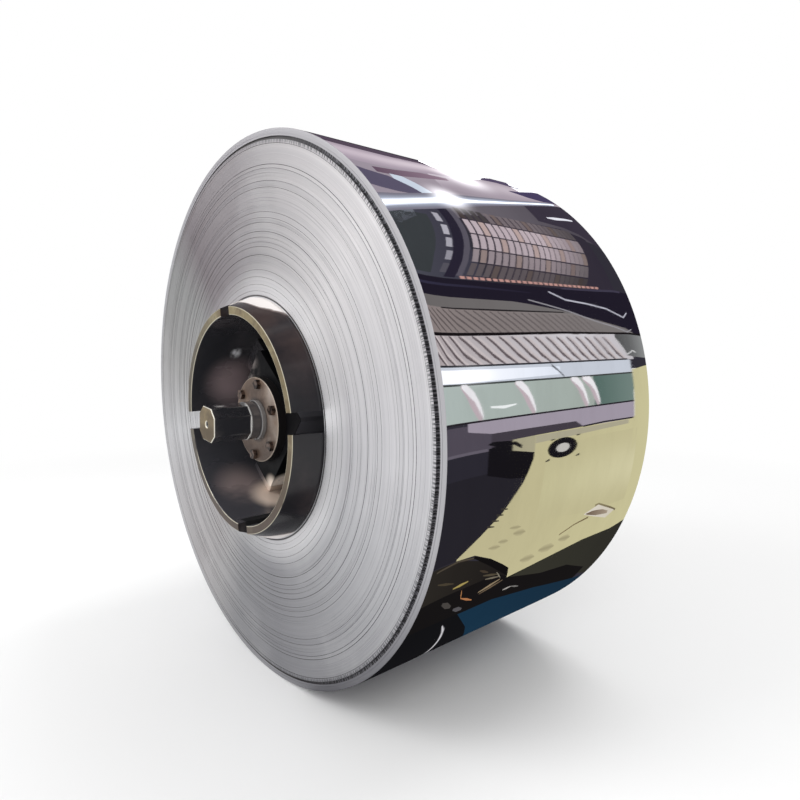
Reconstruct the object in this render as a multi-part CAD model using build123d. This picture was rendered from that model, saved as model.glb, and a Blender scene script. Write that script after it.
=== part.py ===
from build123d import *
import os
from math import cos, radians, sin, tan

# Steel strip coil lying on its round side, gripped from inside by the mandrel that carries it.
# Millimetres. The coil's axis runs along Y, its front end and the mandrel's nose face -Y,
# and the coil stands on z = 0. Depths are measured from the coil's front end, inwards.

# Coil of strip
coil_radius = 570.0
bore_radius = 254.0          # the usual 20 inch bore
strip_width = 595.0
strip_gauge = 1.0
rim_turns = 14               # outer turns, set off from the rest by the dark gap near the rim
rim_gap_width = 6.5
rim_gap_depth = 6.2
front_rim_set_in = 3.0       # the outer turns at the front, where the turns within them stand proud
# Turns in each group between two lines on the coil's ends, and how far each group is set in
turn_groups = (75, 98, 64)
group_set_in = (0.0, 1.4, 0.6, 0.2)

# Leaves of the expanding mandrel
leaf_count = 4
mandrel_turn = 4.7           # degrees that the mandrel stands turned about the axis
slot_width = 40.0
leaf_reach = 55.0            # in front of the coil's end
leaf_wall = 36.8             # where the leaf grips the bore
tip_drop = 19.0              # how much smaller in radius the tips are than the bore
taper_start = 6.0            # in front of the coil's end
tip_bevel = 1.5
grip_clearance = 0.2

# Square core, with a ramp under each foot of a leaf
core_across = 212.0
core_corner_bevel = 6.0
ramp_width = 96.0
ramp_length = 120.0
ramp_angle = 8.0
ramp_low = 26.0              # height of a ramp's thin end above the core's flat
front_ramp_depth = 70.0      # front end of the front ramps
rear_ramp_gap = 45.0         # from the rear ramps' back end to the drive disc
foot_side_margin = 6.0       # a ramp stands out this far beside its foot
foot_end_margin = 5.0        # and this far beyond both ends of it

# T-shaped key under each foot, which slides in its ramp's slot and holds the leaf down
key_neck_width = 28.0
key_neck_depth = 10.0
key_head_width = 52.0
key_depth = 21.0
key_clearance = 0.5

# Drive disc at the back, in one piece with the core
disc_clearance = 4.0         # between the disc's rim and the coil's bore
disc_thickness = 30.0
drive_hole_count = 8
drive_hole_circle_radius = 185.0
drive_hole_radius = 9.0
drive_hole_depth = 24.0

# Flange on the core's front end, and its bolts
flange_radius = 90.5
flange_thickness = 18.0
flange_reach = 3.0           # in front of the coil's end
flange_bevel = 1.5
bolt_count = 6
bolt_edge_distance = 13.5    # from a bolt's middle to the flange's rim
bolt_phase = 20.0
bolt_radius = 6.0
bolt_head_across = 19.0
bolt_head_height = 8.0
bolt_depth_in_core = 24.0
bolt_hole_clearance = 0.5
thread_clearance = 0.2

# Nose shaft: collar, grooved round neck and eight-sided nose
neck_radius = 40.0
neck_length = 21.0
neck_groove_width = 3.0
neck_groove_depth = 2.0
collar_step = 2.5            # the collar stands out this far beyond the neck
collar_length = 9.0
collar_bevel = 1.5
nose_reach = 112.0           # tip of the nose, in front of the coil's end
nose_flat_cut = 5.0          # the nose's long flats lie this far below the neck
nose_corner_cut = 16.5
nose_turn = -6.0
nose_bevel = 2.0
shaft_depth_in_core = 60.0
shaft_clearance = 0.2
centre_hole_radius = 4.0
centre_hole_depth = 14.0
centre_mouth_radius = 8.0

# Places that follow from the sizes
front_y = (nose_reach - strip_width) / 2     # the whole part is centred on the origin along Y
leaf_end_depth = strip_width - disc_thickness
core_front_depth = flange_thickness - flange_reach
core_half = core_across / 2
grip_radius = bore_radius - grip_clearance
leaf_inner_radius = grip_radius - leaf_wall
leaf_tip_radius = bore_radius - tip_drop
leaf_step = 360 / leaf_count
leaf_mid_angle = mandrel_turn + leaf_step / 2
ramp_fronts = (front_ramp_depth, leaf_end_depth - rear_ramp_gap - ramp_length)
disc_radius = bore_radius - disc_clearance

os.makedirs("parts", exist_ok=True)


def turned(points):
    """Solid of revolution about Y. Each point is (radius, depth behind the coil's front end)."""
    outline = make_face(Polyline(*points, close=True))
    return revolve(outline, Axis.Y)


def across_axis(depth, x=0.0, z=0.0):
    """Plane square to the axis at a depth, facing the front, with its own X and Y along X and Z."""
    return Plane(origin=(x, depth, z), x_dir=(1, 0, 0), z_dir=(0, -1, 0))


def rod(radius, depth_from, depth_to, x=0.0, z=0.0):
    """Round bar along Y between two depths."""
    return extrude(across_axis(depth_to, x, z) * Circle(radius), depth_to - depth_from)


def on_circle(radius, angle):
    """X and Z of a point at an angle about the axis, counter-clockwise seen from the front."""
    return radius * cos(radians(angle)), radius * sin(radians(angle))


def places_on_circle(count, radius, phase):
    """Evenly spaced places about the axis."""
    return [on_circle(radius, phase + number * 360 / count) for number in range(count)]


def about_axis(shape, angle):
    """The shape turned about the axis, counter-clockwise seen from the front."""
    return shape.rotate(Axis.Y, -angle)


def save(shape, node):
    """Move the finished piece from the axis into the part's frame, and write it."""
    placed = Pos(0, front_y, coil_radius) * shape
    export_step(placed, f"parts/{node}.step")


def end_steps(rim_set_in):
    """Inner radius, outer radius and set-in depth of each group of turns, from the bore out."""
    rim_inner = coil_radius - rim_turns * strip_gauge
    last = rim_inner - rim_gap_width
    steps = []
    radius = bore_radius
    group = 0
    while radius < last:
        outer = min(radius + turn_groups[group % len(turn_groups)] * strip_gauge, last)
        if last - outer < min(turn_groups) * strip_gauge:
            outer = last
        steps.append((radius, outer, group_set_in[group % len(group_set_in)]))
        radius = outer
        group += 1
    steps.append((last, rim_inner, rim_gap_depth))
    steps.append((rim_inner, coil_radius, rim_set_in))
    return steps


def strip_coil():
    """One turned solid with its bore. Both ends are stepped where groups of turns stand out."""
    front, back = [], []
    for inner, outer, set_in in end_steps(front_rim_set_in):
        front += [(inner, set_in), (outer, set_in)]
    for inner, outer, set_in in reversed(end_steps(0.0)):
        back += [(outer, strip_width - set_in), (inner, strip_width - set_in)]
    return turned(front + back)


def leaf_ring():
    """The leaves before the slots part them: a tapered lead-in, then the gripping wall."""
    return turned([
        (leaf_inner_radius, tip_bevel - leaf_reach),
        (leaf_inner_radius + tip_bevel, -leaf_reach),
        (leaf_tip_radius - tip_bevel, -leaf_reach),
        (leaf_tip_radius, tip_bevel - leaf_reach),
        (grip_radius, -taper_start),
        (grip_radius, leaf_end_depth),
        (leaf_inner_radius, leaf_end_depth),
    ])


def leaf_sector():
    """Space between two slots, pointing to +X: a wedge set off by half a slot on each side."""
    apex = slot_width / 2 / sin(radians(leaf_step / 2))
    far_x, far_z = on_circle(bore_radius * 2, leaf_step / 2)
    outline = make_face(Polyline((apex, 0), (apex + far_x, far_z), (apex + far_x, -far_z), close=True))
    return extrude(across_axis(leaf_end_depth) * outline, leaf_end_depth + leaf_reach)


def ramp_height(depth, ramp_front):
    """Height of a ramp above the core's flat: most at its front end."""
    return ramp_low + (ramp_front + ramp_length - depth) * tan(radians(ramp_angle))


def upright(outline_points, width):
    """Bar across X. Each point of its outline is (depth, height above the axis)."""
    outline = make_face(Polyline(*outline_points, close=True))
    return extrude(Plane.YZ.offset(-width / 2) * outline, width)


def ramp(ramp_front):
    """Wedge on the core's flat that faces +Z."""
    back = ramp_front + ramp_length
    root = core_half - core_corner_bevel
    return upright([
        (ramp_front, root),
        (back, root),
        (back, core_half + ramp_height(back, ramp_front)),
        (ramp_front, core_half + ramp_height(ramp_front, ramp_front)),
    ], ramp_width)


def key_bar(ramp_front, clearance, depth_from, depth_to):
    """T-shaped bar along a ramp's slope, cut off square to the axis at two depths."""
    slope = radians(ramp_angle)
    top = (0, ramp_front - ramp_length, core_half + ramp_height(ramp_front - ramp_length, ramp_front))
    plane = Plane(origin=top, x_dir=(1, 0, 0), z_dir=(0, cos(slope), -sin(slope)))
    neck = key_neck_width / 2 - clearance
    head = key_head_width / 2 - clearance
    shoulder = key_neck_depth + clearance
    bottom = key_depth - clearance
    above = -clearance - 1
    half = [(neck, above), (neck, shoulder), (head, shoulder), (head, bottom)]
    outline = make_face(Polyline(*half, *[(-x, y) for x, y in reversed(half)], close=True))
    return extrude(plane * outline, 3 * ramp_length) & rod(bore_radius, depth_from, depth_to)


def foot(ramp_front):
    """Foot of a leaf on the ramp that faces +Z, with its key below and its top in the leaf's wall."""
    front = ramp_front + foot_end_margin
    back = ramp_front + ramp_length - foot_end_margin
    wall_middle = leaf_inner_radius + leaf_wall / 2
    block = upright([
        (front, core_half + ramp_height(front, ramp_front)),
        (back, core_half + ramp_height(back, ramp_front)),
        (back, wall_middle),
        (front, wall_middle),
    ], ramp_width - 2 * foot_side_margin)
    return block + key_bar(ramp_front, key_clearance, front, back)


def leaves():
    """The leaves in order about the axis, each a part of the ring with its feet."""
    ring = leaf_ring()
    for number in range(leaf_count):
        mid_angle = leaf_mid_angle + number * leaf_step
        leaf = ring & about_axis(leaf_sector(), mid_angle)
        for ramp_front in ramp_fronts:
            leaf += about_axis(foot(ramp_front), mid_angle - 90)
        yield leaf


def mandrel_core():
    """Square bar with slotted ramps, and the drive disc behind it in one piece."""
    section = chamfer(Rectangle(core_across, core_across).vertices(), core_corner_bevel)
    bar = extrude(across_axis(leaf_end_depth) * section, leaf_end_depth - core_front_depth)
    bar = about_axis(bar, leaf_mid_angle)
    for number in range(leaf_count):
        for ramp_front in ramp_fronts:
            ramp_back = ramp_front + ramp_length
            slot = key_bar(ramp_front, 0, ramp_front - foot_end_margin, ramp_back + foot_end_margin)
            bar += about_axis(ramp(ramp_front) - slot, leaf_mid_angle - 90 + number * leaf_step)
    core = bar + rod(disc_radius, leaf_end_depth, strip_width)
    core -= rod(neck_radius + shaft_clearance, core_front_depth, core_front_depth + shaft_depth_in_core)
    for x, z in flange_bolt_places():
        hole_end = core_front_depth + bolt_depth_in_core
        core -= rod(bolt_radius + thread_clearance, core_front_depth, hole_end, x, z)
    for x, z in places_on_circle(drive_hole_count, drive_hole_circle_radius, mandrel_turn):
        core -= rod(drive_hole_radius, strip_width - drive_hole_depth, strip_width, x, z)
    return core


def flange_bolt_places():
    return places_on_circle(bolt_count, flange_radius - bolt_edge_distance, bolt_phase)


def nose_flange():
    """Round flange on the core's front end, bored for the nose shaft."""
    flange = turned([
        (neck_radius + shaft_clearance, -flange_reach),
        (flange_radius - flange_bevel, -flange_reach),
        (flange_radius, flange_bevel - flange_reach),
        (flange_radius, core_front_depth),
        (neck_radius + shaft_clearance, core_front_depth),
    ])
    for x, z in flange_bolt_places():
        flange -= rod(bolt_radius + bolt_hole_clearance, -flange_reach, core_front_depth, x, z)
    return flange


def nose_shaft():
    """Stub in the core, collar on the flange, grooved round neck and the eight-sided nose."""
    collar_end = -flange_reach - collar_length
    groove_end = collar_end - neck_groove_width
    neck_end = collar_end - neck_length
    stub_end = core_front_depth + shaft_depth_in_core
    collar_radius = neck_radius + collar_step
    body = turned([
        (0, stub_end),
        (0, neck_end),
        (neck_radius, neck_end),
        (neck_radius, groove_end),
        (neck_radius - neck_groove_depth, groove_end),
        (neck_radius - neck_groove_depth, collar_end),
        (collar_radius - collar_bevel, collar_end),
        (collar_radius, collar_end + collar_bevel),
        (collar_radius, -flange_reach),
        (neck_radius, -flange_reach),
        (neck_radius, stub_end),
    ])
    nose_across = 2 * (neck_radius - nose_flat_cut)
    section = chamfer(Rectangle(nose_across, nose_across).vertices(), nose_corner_cut)
    nose = extrude(across_axis(neck_end) * section, nose_reach + neck_end)
    nose = chamfer(nose.faces().sort_by(Axis.Y)[0].edges(), nose_bevel)
    mouth_depth = centre_mouth_radius - centre_hole_radius
    centre_hole = turned([
        (0, -nose_reach),
        (centre_mouth_radius, -nose_reach),
        (centre_hole_radius, mouth_depth - nose_reach),
        (centre_hole_radius, centre_hole_depth - nose_reach),
        (0, centre_hole_depth + centre_hole_radius - nose_reach),
    ])
    return body + about_axis(nose, nose_turn) - centre_hole


def flange_bolt(x, z):
    """Hexagon-head bolt through the flange into the core."""
    hexagon = RegularPolygon(bolt_head_across / 2, 6, major_radius=False)
    head = extrude(across_axis(-flange_reach, x, z) * hexagon, bolt_head_height)
    return head + rod(bolt_radius, -flange_reach, core_front_depth + bolt_depth_in_core, x, z)


save(strip_coil(), "strip_coil")
for number, leaf in enumerate(leaves(), 1):
    save(leaf, f"leaf_{number}")
save(mandrel_core(), "mandrel_core")
save(nose_flange(), "nose_flange")
save(nose_shaft(), "nose_shaft")
for number, (x, z) in enumerate(flange_bolt_places(), 1):
    save(flange_bolt(x, z), f"flange_bolt_{number}")
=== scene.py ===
import bpy, bmesh, math, random
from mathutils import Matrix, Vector


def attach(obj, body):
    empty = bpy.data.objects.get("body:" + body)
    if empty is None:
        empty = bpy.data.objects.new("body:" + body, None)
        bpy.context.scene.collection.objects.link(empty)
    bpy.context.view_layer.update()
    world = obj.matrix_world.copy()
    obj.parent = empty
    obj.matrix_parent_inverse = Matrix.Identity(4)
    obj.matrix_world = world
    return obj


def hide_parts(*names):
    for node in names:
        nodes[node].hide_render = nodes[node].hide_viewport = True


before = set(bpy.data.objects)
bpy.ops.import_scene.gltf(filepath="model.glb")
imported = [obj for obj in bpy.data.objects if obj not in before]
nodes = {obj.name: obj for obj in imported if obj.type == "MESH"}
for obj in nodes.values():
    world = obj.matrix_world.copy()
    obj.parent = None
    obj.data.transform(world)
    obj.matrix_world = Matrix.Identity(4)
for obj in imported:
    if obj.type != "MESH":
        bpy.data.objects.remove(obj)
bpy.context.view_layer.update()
print("frame loaded, pieces:", len(nodes))


def fromScreen(colour):
    # a colour picked on screen, 0 to 255, as the light that it stands for
    parts = [c / 255 for c in colour]
    return tuple(c / 12.92 if c <= 0.04045 else ((c + 0.055) / 1.055) ** 2.4 for c in parts) + (1,)


def added(name, data):
    made = bpy.data.objects.new(name, data)
    bpy.context.scene.collection.objects.link(made)
    return made


def aimed(name, data, place, gaze):
    # the camera or a lamp, looking along gaze
    made = added(name, data)
    made.location = place
    made.rotation_mode = "QUATERNION"
    made.rotation_quaternion = Vector(gaze).to_track_quat("-Z", "Y")
    return made


def fromMesh(name, mesh, finishes):
    data = bpy.data.meshes.new(name)
    mesh.to_mesh(data)
    mesh.free()
    for finish in finishes:
        data.materials.append(finish)
    return added(name, data)


# Shader tools: a wire is one output, and + - * / on wires add Math nodes
def operator(operation, reflected=False):
    def work(self, other):
        return self.finish.maths(operation, *((other, self) if reflected else (self, other)))
    return work


class Wire:
    def __init__(self, finish, socket):
        self.finish, self.socket = finish, socket

    __add__, __radd__ = operator("ADD"), operator("ADD", True)
    __sub__, __rsub__ = operator("SUBTRACT"), operator("SUBTRACT", True)
    __mul__, __rmul__ = operator("MULTIPLY"), operator("MULTIPLY", True)
    __truediv__, __rtruediv__ = operator("DIVIDE"), operator("DIVIDE", True)


class Finish:
    def __init__(self, name, world=None):
        self.material = world or bpy.data.materials.new(name)
        self.material.use_nodes = True
        self.tree = self.material.node_tree
        self.tree.nodes.clear()

    def node(self, kind, settings=None, values=None, out=0):
        made = self.tree.nodes.new(kind)
        for name, value in (settings or {}).items():
            if name == "stops":
                elements = made.color_ramp.elements
                while len(elements) < len(value):
                    elements.new(0.5)
                for element, (place, colour) in zip(elements, value):
                    element.position, element.color = place, colour
            else:
                setattr(made, name, value)
        for name, value in (values or {}).items():
            if isinstance(value, Wire):
                self.tree.links.new(value.socket, made.inputs[name])
            else:
                made.inputs[name].default_value = value
        return Wire(self, made.outputs[out]) if made.outputs else None

    def maths(self, operation, *parts):
        return self.node("ShaderNodeMath", {"operation": operation}, dict(enumerate(parts)))

    def place(self):
        return self.node("ShaderNodeTexCoord", out="Object")

    def part(self, vector, axis):
        return self.node("ShaderNodeSeparateXYZ", {}, {0: vector}, out=axis)

    def vector(self, operation, first, second, out=0):
        return self.node("ShaderNodeVectorMath", {"operation": operation}, {0: first, 1: second}, out=out)

    def scaled(self, place, *by):
        return self.vector("MULTIPLY", place, by)

    def length(self, vector):
        return self.vector("LENGTH", vector, (0, 0, 0), out="Value")

    def noise(self, place, scale, detail=2, rough=0.5):
        return self.node("ShaderNodeTexNoise", {"noise_dimensions": "3D"},
                         {"Vector": place, "Scale": scale, "Detail": detail, "Roughness": rough})

    def lineNoise(self, along, scale, detail=2, rough=0.5):
        return self.node("ShaderNodeTexNoise", {"noise_dimensions": "1D"},
                         {"W": along, "Scale": scale, "Detail": detail, "Roughness": rough})

    def ease(self, value, low, high, start=0, end=1):
        # a smooth step, from start at low to end at high
        values = {"Value": value, "From Min": low, "From Max": high, "To Min": start, "To Max": end}
        return self.node("ShaderNodeMapRange", {"interpolation_type": "SMOOTHSTEP"}, values)

    def fall(self, value, low, high, start=1):
        return self.ease(value, low, high, start, 0)

    def near(self, place, spot, low, high):
        # 1 close to a spot, nothing from high on
        return self.fall(self.vector("DISTANCE", place, spot, out="Value"), low, high)

    def blend(self, share, first, second):
        # a plain colour is one picked on screen
        first, second = (fromScreen(c) if isinstance(c, tuple) else c for c in (first, second))
        return self.node("ShaderNodeMix", {"data_type": "RGBA"}, {0: share, 6: first, 7: second}, out=2)

    def bump(self, height, distance, strength=1, **under):
        values = {"Height": height, "Distance": distance, "Strength": strength, **under}
        return self.node("ShaderNodeBump", {}, values)

    def show(self, surface, kind="Material"):
        self.node("ShaderNodeOutput" + kind, {}, {"Surface": surface})
        return self.material

    def steel(self, colour, metal, rough, **others):
        values = {"Base Color": colour, "Metallic": metal, "Roughness": rough}
        for name, value in others.items():
            values[name.replace("_", " ")] = value
        return self.show(self.node("ShaderNodeBsdfPrincipled", {}, values))


coil = {
    "radius": 0.57,
    "bore": 0.254,
    "width": 0.595,
    "front": -0.2415,  # y of the front end
    "height": 0.57,  # of the axis above the floor
    "gauge": 0.001,
    "segments": 256,
    "sharpFrom": 25,  # degrees between faces from which their edge is sharp
    "rimInner": 0.556,
    "rimGap": 0.0065,
    "rimGapDepth": 0.0062,
    # where groups of turns stand apart: outer radius, how far set in
    "sets": ((0.329, 0.0003), (0.427, 0.0014), (0.491, 0.0007), (0.556, 0.0002)),
    "wander": 0.0003,  # how far small groups of turns stand out of line
    "rimSet": 0.003,
    "rimLine": (0.0042, 0.0048, 0.0005),  # thin gap in the rim: from, to, depth
    "rimFlat": 0.011,
    "outerEdge": (0.0006, 0.0002, 0.0008),  # worn edge of the outer turn: width, depths
    "smallGroups": (2, 3, 3, 4, 5, 6, 8),
    # dark gaps between turns: radius, width
    "gaps": ((0.2572, 0.003), (0.267, 0.0005), (0.28, 0.0005), (0.295, 0.0006), (0.309, 0.0006),
             (0.338, 0.0009), (0.354, 0.0005), (0.363, 0.0005), (0.372, 0.0005), (0.383, 0.0009),
             (0.4, 0.0005), (0.409, 0.0005), (0.42, 0.0006), (0.465, 0.0006), (0.477, 0.0005),
             (0.499, 0.0006), (0.506, 0.0009), (0.543, 0.0007)),
    "gapDepth": 0.0016,
    "edgeDrop": 0.00045,  # the strip is thinner near its edges
    "edgeDropReach": 0.055,
    "edgeDropSteps": 5,
    "seed": 11,
}


edgeLook = {
    # painted reflection, tone of the strip's cut edges round the end in lighter and darker sectors: degrees
    # about the axis from +X up, screen colour
    "fanReflectionTones": ((0, (197, 196, 199)), (42, (222, 219, 220)), (84, (164, 161, 162)), (97, (138, 133, 135)),
              (126, (112, 104, 107)), (141, (140, 140, 139)), (168, (165, 164, 163)), (189, (203, 203, 205)),
              (203, (181, 179, 181)), (230, (160, 156, 157)), (241, (164, 162, 163)), (254, (138, 138, 141)),
              (276, (130, 130, 134)), (302, (149, 149, 152)), (334, (173, 173, 176)), (360, (197, 196, 199))),
    "lineShare": 0.42,  # how dark the painted shade lines between turns are
    "turnShare": 0.1,  # how much one turn differs from the next
    "metal": 0.55,
    "combTeeth": 1000,  # bent strip edges that would go round an end
}


def stripEdgeFinish():
    # cut edges of the turns, seen on the coil's ends
    f = Finish("stripEdges")
    place = f.place()
    x, y = f.part(place, 0), f.part(place, 1)
    radius = f.length(f.scaled(place, 1, 1, 0))
    turn = radius / coil["gauge"]
    share = f.maths("FRACT", f.maths("ARCTAN2", -1 * y, x) / (2 * math.pi))
    # painted reflection: the cut edges lighter and darker by angle round the end
    stops = [(degrees / 360, fromScreen(tone)) for degrees, tone in edgeLook["fanReflectionTones"]]
    colour = f.node("ShaderNodeValToRGB", {"stops": stops}, {0: share})
    single = f.node("ShaderNodeTexWhiteNoise", {"noise_dimensions": "1D"}, {"W": f.maths("FLOOR", turn)})
    bands = f.lineNoise(turn, 0.09)
    patch = f.noise(place, 4, 3, 0.6)
    reach = f.ease(f.noise(place, 5.5), 0.38, 0.62)  # lines come and go round the end
    right = f.ease(x, -0.25, 0.3, 0.25, 1)
    # painted shade: thin dark lines between turns, stronger towards the right
    shadeLines = f.ease(f.lineNoise(turn, 0.36, 2, 0.7), 0.56, 0.72) * reach * right
    comb = f.ease(f.lineNoise(share, edgeLook["combTeeth"], 0), 0.44, 0.54)
    hair = f.ease(f.lineNoise(turn + patch * 0.6, 1.3, 1), 0.58, 0.74) * (0.35 + 0.65 * reach)
    broken = f.ease(f.noise(place, 14), 0.36, 0.6, 0.45, 1)
    colour = f.blend(f.ease(bands, 0.35, 0.7) * 0.16, colour, (132, 132, 138))
    colour = f.blend(single * edgeLook["turnShare"], colour, (96, 96, 102))
    colour = f.blend(shadeLines * broken * edgeLook["lineShare"], colour, (84, 84, 90))
    colour = f.blend(hair * 0.2, colour, (96, 96, 100))
    colour = f.blend(f.ease(patch, 0.45, 0.75) * 0.18, colour, (214, 213, 214))
    # combed strip edges beside the rim's gap and the bore's
    rim = coil["rimInner"]
    middle, wide = coil["gaps"][0]
    lip, edge = middle - wide / 2, middle + wide / 2
    teeth = comb * right * f.ease(radius, rim - 0.016, rim - 0.008) * f.fall(radius, rim - 0.006, rim)
    inner = comb * right * f.fall(radius, edge + 0.0003, edge + 0.0043)
    inner = inner * f.ease(radius, edge - 0.0007, edge - 0.0001)
    colour = f.blend(f.maths("MAXIMUM", teeth, inner) * 0.8, colour, (60, 60, 66))
    colour = f.blend(f.fall(radius, lip - 0.0001, lip + 0.0001) * 0.75, colour, (222, 222, 225))
    # painted highlight: a pale band just outside the bore's gap, on the right
    boreHighlight = f.fall(radius, 0.262, 0.33) * f.ease(radius, edge - 0.0001, edge + 0.0013) * right
    colour = f.blend(boreHighlight * 0.6, colour, (246, 245, 247))
    # rim beyond its gap: darker low on the right, paler on the left
    band = f.ease(radius, rim - 0.0004, rim + 0.0002)
    colour = f.blend(band * 0.7, colour, (154, 153, 157))
    lowRight = f.ease(y, 0.12, 0.42) * f.ease(x, -0.05, 0.25)
    colour = f.blend(band * lowRight * 0.65, colour, (90, 90, 96))
    colour = f.blend(band * f.fall(x, -0.45, -0.2) * 0.5, colour, (190, 190, 193))
    height = single * 0.4 + bands * 1.2 + hair * -0.5
    rough = 0.36 + single * 0.08 + patch * 0.1
    return f.steel(colour, edgeLook["metal"], rough, Anisotropic=0.6, Normal=f.bump(height, 0.00018, 0.7))


def gapFinish():
    # oil and painted shade: dark between turns that stand apart
    f = Finish("gapBetweenTurns")
    place = f.place()
    x, y = f.part(place, 0), f.part(place, 1)
    grime = f.noise(place, 60, 3, 0.6)
    colour = f.blend(grime, (26, 26, 30), (70, 68, 70))
    # strip edges bent across the gap, and the gap paler towards the left
    comb = f.lineNoise(f.maths("ARCTAN2", y, x) / (2 * math.pi), edgeLook["combTeeth"], 0)
    colour = f.blend(f.ease(comb, 0.46, 0.6) * f.ease(x, 0.1, 0.35) * 0.85, colour, (134, 133, 139))
    paleTowardsLeft = f.fall(x, -0.1, 0.3) * f.ease(f.noise(place, 7), 0.3, 0.6, 0.55, 1)
    colour = f.blend(paleTowardsLeft * 0.7, colour, (146, 143, 143))
    return f.steel(colour, 0.6, 0.5 + grime * 0.2)


def polishedFinish():
    # bright round side of the outer turn
    f = Finish("polishedStrip")
    place = f.place()
    rolled = f.lineNoise(f.part(place, 2), 900, 3, 0.7)
    waves = f.noise(f.scaled(place, 1, 1, 0.8), 2.4, 1)
    smear = f.noise(f.scaled(place, 1, 1, 3), 6, 4, 0.65)
    scratch = f.ease(f.noise(f.scaled(place, 2, 2, 260), 3), 0.7, 0.76)
    colour = f.blend(f.ease(smear, 0.4, 0.75) * 0.25, (228, 228, 232), (206, 205, 208))
    rough = 0.016 + f.ease(smear, 0.45, 0.8) * 0.02 + scratch * 0.05
    return f.steel(colour, 1, rough, Normal=f.bump(rolled, 0.000001, Normal=f.bump(waves, 0.0009)))


def boreFinish():
    # inner turn, dulled by the leaves that grip it
    f = Finish("boreTurn")
    smear = f.noise(f.place(), 14, 4, 0.6)
    colour = f.blend(smear, (196, 196, 200), (140, 138, 138))
    return f.steel(colour, 1, 0.16 + smear * 0.2)


def endProfile(seed, depthScale, rimSet):
    # radius, depth set in, and what the face that starts there is: 0 strip edges, 1 gap
    dice = random.Random(seed)
    points = []
    gaps = list(coil["gaps"]) + [(coil["rimInner"] - coil["rimGap"] / 2, coil["rimGap"])]
    radius = coil["bore"]
    level = 0
    slack = 0.00001
    while radius < coil["rimInner"] - 10 * slack:
        ahead = [g for g in gaps if g[0] - g[1] / 2 > radius - slack]
        stop, gapWidth = (ahead[0][0] - ahead[0][1] / 2, ahead[0][1]) if ahead else (coil["rimInner"], 0)
        while radius < stop - slack:
            outer = radius + dice.choice(coil["smallGroups"]) * coil["gauge"]
            if stop - outer < 2 * coil["gauge"]:
                outer = stop
            base = next(s for limit, s in coil["sets"] if radius < limit)
            level = max(0, base + dice.uniform(-1, 1) * coil["wander"]) * depthScale
            points += [(radius, level, 0), (outer, level, 0)]
            radius = outer
        if gapWidth:
            deep = coil["rimGapDepth"] if ahead[0] == gaps[-1] else level + coil["gapDepth"]
            points[-1] = (radius, level, 1)
            points += [(radius, deep, 1), (radius + gapWidth, deep, 1)]
            radius += gapWidth
    rim, outer = coil["rimInner"], coil["radius"] - coil["edgeDrop"]
    start, end, deep = coil["rimLine"]
    worn, inside, outside = coil["outerEdge"]
    points += [(rim, rimSet, 0), (rim + start, rimSet, 0), (rim + start, rimSet + deep, 0),
               (rim + end, rimSet + deep, 0), (rim + end, rimSet, 0), (rim + coil["rimFlat"], rimSet, 0),
               (outer - worn, rimSet + inside, 0), (outer, rimSet + outside, 2)]
    return points


def spin(name, outline, finishes):
    # turns a closed outline of (radius, depth, finish) about the axis
    mesh = bmesh.new()
    segments, count = coil["segments"], len(outline)
    turns = [2 * math.pi * k / segments for k in range(segments)]
    rings = [[mesh.verts.new((radius * math.cos(turn), radius * math.sin(turn), depth)) for turn in turns]
             for radius, depth, _ in outline]
    for i in range(count):
        here, ahead = rings[i], rings[(i + 1) % count]
        for k in range(segments):
            m = (k + 1) % segments
            face = mesh.faces.new((here[k], here[m], ahead[m], ahead[k]))
            face.material_index = outline[i][2]
            face.smooth = True
    bmesh.ops.recalc_face_normals(mesh, faces=mesh.faces)
    for edge in mesh.edges:
        if edge.is_manifold and edge.calc_face_angle(0) > math.radians(coil["sharpFrom"]):
            edge.smooth = False
    return fromMesh(name, mesh, finishes)


def stripCoil():
    front, width, steps = coil["front"], coil["width"], coil["edgeDropSteps"]
    ends = [(r, front + d, kind) for r, d, kind in endProfile(coil["seed"], 1, coil["rimSet"])]
    side = []
    for k in range(1, steps + 1):  # the edge drop near both ends of the round side
        u = k / steps
        r = coil["radius"] - coil["edgeDrop"] * (1 - u) ** 2
        side.append((r, front + coil["edgeDropReach"] * u, 2))
    side += [(r, 2 * front + width - y, 2) for r, y, _ in reversed(side)]
    back = endProfile(coil["seed"] + 1, 0.7, 0)
    rear = []
    for i in range(len(back) - 1, -1, -1):
        r, d, _ = back[i]
        rear.append((r, front + width - d, 3 if i == 0 else back[i - 1][2]))
    outline = ends + side + rear
    made = spin("coil", outline, [stripEdgeFinish(), gapFinish(), polishedFinish(), boreFinish()])
    made.location = (0, 0, coil["height"])
    made.rotation_euler = (math.radians(-90), 0, 0)
    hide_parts("strip_coil")
    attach(made, "root")
    print("coil, profile points:", len(outline))


mandrel = {
    "axis": (0, 0, coil["height"]),
    "tipFace": -0.2965,  # y of the leaves' tips
    "inner": 0.217,  # radii of the leaves' inside and of their tips' outside
    "tipOuter": 0.235,
    "noseEnd": -0.3535,
    "discFace": 0.3235,  # y of the drive disc's inner face
    # dust and painted sheen, pale clouds inside the leaves: place, full within and gone from, how broken,
    # share, colour
    "dustAndSheen": (((-0.131, -0.22, 0.399), (0.015, 0.08), (0.36, 0.62), 0.8, (150, 134, 132)),
             ((-0.205, -0.2, 0.64), (0.015, 0.08), (0.28, 0.56), 0.8, (150, 132, 134)),
             ((-0.09, -0.165, 0.379), (0.022, 0.062), (0.26, 0.46), 0.95, (226, 206, 190))),
    "whiteSpot": ((-0.169, -0.204, 0.424), 0.003, 0.017),
    "coreDust": ((-0.055, -0.2265, 0.672), 0.012, 0.05),
    "coreFootLight": ((0.02, -0.2, 0.425), 0.02, 0.042),
    "noseGlint": ((0.006, -0.326, 0.61), 0.004, 0.016),
}


def aroundAxis(f, place):
    # distance from the mandrel's axis
    return f.length(f.scaled(f.vector("SUBTRACT", place, mandrel["axis"]), 1, 0, 1))


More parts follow.
